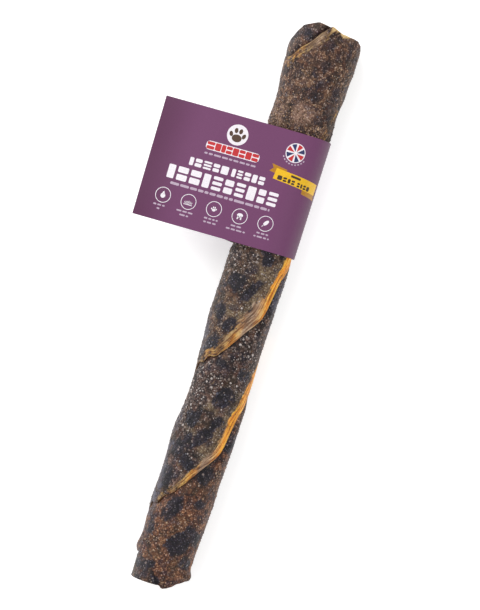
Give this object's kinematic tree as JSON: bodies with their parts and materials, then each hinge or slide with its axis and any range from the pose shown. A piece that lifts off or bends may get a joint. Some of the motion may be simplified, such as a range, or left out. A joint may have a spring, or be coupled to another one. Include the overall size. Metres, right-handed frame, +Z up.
{
  "type": "rolled fish-skin dental chew stick",
  "caption": "Long dental chew for dogs, wound from dried fish skins round a rolled core, with a printed paper flag label looped round it.",
  "frame": {"origin": "on the flat underside of the stick, at the middle of its length", "axes": "+Y along the stick towards its wide end, +Z up through the printed face of the label, the label's flag reaching towards -X"},
  "size_m": [0.1147, 0.39, 0.0435],
  "materials": {
    "outer_skin_a": "dried fish skin, reddish brown and olive with blue-black blotches and pale granules, semi-matt",
    "outer_skin_b": "dried fish skin, dark purple-grey with blue-black blotches and pale granules, semi-matt",
    "under_wrap": "dried fish skin, dark purple-brown, semi-matt",
    "flesh_side": "translucent amber flesh side of dried fish skin, satin",
    "label_paper": null,
    "label_adhesive": "dried label adhesive, satin"
  },
  "bodies": {
    "stick": {"outer_skin_a": "outer_skin_a", "outer_skin_b": "outer_skin_b", "under_wrap": "under_wrap", "middle_roll": "flesh_side", "core_roll": "flesh_side"},
    "label_loop": {"label_band": "label_paper"},
    "label_flag": {"label_front_leaf": "label_paper", "label_adhesive": "label_adhesive", "label_back_leaf": "label_paper"}
  },
  "joints": [
    {"name": "label_slide", "type": "slide", "parent": "stick", "child": "label_loop", "axis": [0, 1, 0], "range_m": [-0.32, 0]},
    {"name": "flag_bend", "type": "hinge", "parent": "label_loop", "child": "label_flag", "pos_m": [-0.026, 0.0785, 0.0423], "axis": [0, 1, 0], "range_deg": [-38, 80], "stiffness_Nm_per_rad": 0.002}
  ]
}
